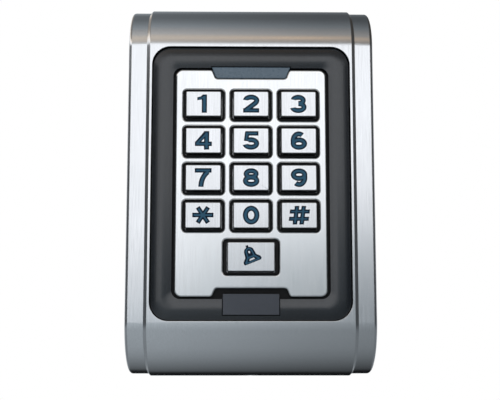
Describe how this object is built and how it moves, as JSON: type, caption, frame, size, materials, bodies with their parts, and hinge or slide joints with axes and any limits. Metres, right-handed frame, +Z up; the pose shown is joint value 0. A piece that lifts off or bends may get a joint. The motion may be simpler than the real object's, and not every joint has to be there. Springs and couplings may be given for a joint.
{
  "type": "rfid card reader",
  "caption": "Wall-mounted RFID card reader with a keypad: cast metal case, black bezel ring, metal plate and pressable metal keys, on a hook-on wall plate.",
  "frame": {"origin": "centre of the wall plate's back face, on the wall", "axes": "+Z up, +X to the right of a person facing the reader, +Y into the wall; the keys face -Y"},
  "size_m": [0.082, 0.0275, 0.128],
  "materials": {
    "case_metal": "satin nickel plating on a zinc casting, brushed along the height",
    "plate_metal": "fine satin",
    "bezel_plastic": "fine moulded texture, low sheen",
    "lens_resin": "blue-grey translucent resin",
    "smoked_resin": "smoked, polished",
    "key_metal": "satin, edges lightly polished",
    "legend_inlay": "dark blue resin fill, slightly translucent",
    "rubber": "black silicone, matte",
    "board": "green solder mask with traces and pads",
    "copper_wire": "enamelled copper winding",
    "led_resin": "clear epoxy",
    "component_plastic": "black moulding compound",
    "header_plastic": "ivory nylon",
    "sensor_body": "red resin face",
    "cover_plastic": "black moulded texture",
    "zinc_steel": "zinc-plated sheet",
    "screw_steel": "plain steel"
  },
  "bodies": {
    "reader": {"front_case": "case_metal", "keypad_plate": "plate_metal", "bezel_frame": "bezel_plastic", "status_lens": "lens_resin", "sensor_window": "smoked_resin", "silicone_mat": "rubber", "rear_gasket": "rubber", "cable_grommet": "rubber", "circuit_board": "board", "antenna_coil": "copper_wire", "status_led_left": "led_resin", "status_led_middle": "led_resin", "status_led_right": "led_resin", "window_sensor": "led_resin", "microcontroller": "component_plastic", "relay": "component_plastic", "buzzer": "component_plastic", "wire_header": "header_plastic", "tamper_sensor": "sensor_body", "rear_cover": "cover_plastic", "wall_plate": "zinc_steel", "board_screw_1": "screw_steel", "cover_screw_1": "screw_steel", "board_screw_2": "screw_steel", "cover_screw_2": "screw_steel", "board_screw_3": "screw_steel", "cover_screw_3": "screw_steel", "board_screw_4": "screw_steel", "cover_screw_4": "screw_steel", "security_screw": "screw_steel"},
    "key_1": {"key_1": "key_metal", "legend_1": "legend_inlay"},
    "key_2": {"key_2": "key_metal", "legend_2": "legend_inlay"},
    "key_3": {"key_3": "key_metal", "legend_3": "legend_inlay"},
    "key_4": {"key_4": "key_metal", "legend_4": "legend_inlay"},
    "key_5": {"key_5": "key_metal", "legend_5": "legend_inlay"},
    "key_6": {"key_6": "key_metal", "legend_6": "legend_inlay"},
    "key_7": {"key_7": "key_metal", "legend_7": "legend_inlay"},
    "key_8": {"key_8": "key_metal", "legend_8": "legend_inlay"},
    "key_9": {"key_9": "key_metal", "legend_9": "legend_inlay"},
    "key_star": {"key_star": "key_metal", "legend_star": "legend_inlay"},
    "key_0": {"key_0": "key_metal", "legend_0": "legend_inlay"},
    "key_hash": {"key_hash": "key_metal", "legend_hash": "legend_inlay"},
    "key_bell": {"key_bell": "key_metal", "legend_bell": "legend_inlay"}
  },
  "joints": [
    {"name": "press_1", "type": "slide", "parent": "reader", "child": "key_1", "axis": [0, 1, 0], "range_m": [0, 0.001], "stiffness_N_per_m": 1200},
    {"name": "press_2", "type": "slide", "parent": "reader", "child": "key_2", "axis": [0, 1, 0], "range_m": [0, 0.001], "stiffness_N_per_m": 1200},
    {"name": "press_3", "type": "slide", "parent": "reader", "child": "key_3", "axis": [0, 1, 0], "range_m": [0, 0.001], "stiffness_N_per_m": 1200},
    {"name": "press_4", "type": "slide", "parent": "reader", "child": "key_4", "axis": [0, 1, 0], "range_m": [0, 0.001], "stiffness_N_per_m": 1200},
    {"name": "press_5", "type": "slide", "parent": "reader", "child": "key_5", "axis": [0, 1, 0], "range_m": [0, 0.001], "stiffness_N_per_m": 1200},
    {"name": "press_6", "type": "slide", "parent": "reader", "child": "key_6", "axis": [0, 1, 0], "range_m": [0, 0.001], "stiffness_N_per_m": 1200},
    {"name": "press_7", "type": "slide", "parent": "reader", "child": "key_7", "axis": [0, 1, 0], "range_m": [0, 0.001], "stiffness_N_per_m": 1200},
    {"name": "press_8", "type": "slide", "parent": "reader", "child": "key_8", "axis": [0, 1, 0], "range_m": [0, 0.001], "stiffness_N_per_m": 1200},
    {"name": "press_9", "type": "slide", "parent": "reader", "child": "key_9", "axis": [0, 1, 0], "range_m": [0, 0.001], "stiffness_N_per_m": 1200},
    {"name": "press_star", "type": "slide", "parent": "reader", "child": "key_star", "axis": [0, 1, 0], "range_m": [0, 0.001], "stiffness_N_per_m": 1200},
    {"name": "press_0", "type": "slide", "parent": "reader", "child": "key_0", "axis": [0, 1, 0], "range_m": [0, 0.001], "stiffness_N_per_m": 1200},
    {"name": "press_hash", "type": "slide", "parent": "reader", "child": "key_hash", "axis": [0, 1, 0], "range_m": [0, 0.001], "stiffness_N_per_m": 1200},
    {"name": "press_bell", "type": "slide", "parent": "reader", "child": "key_bell", "axis": [0, 1, 0], "range_m": [0, 0.001], "stiffness_N_per_m": 1200}
  ]
}
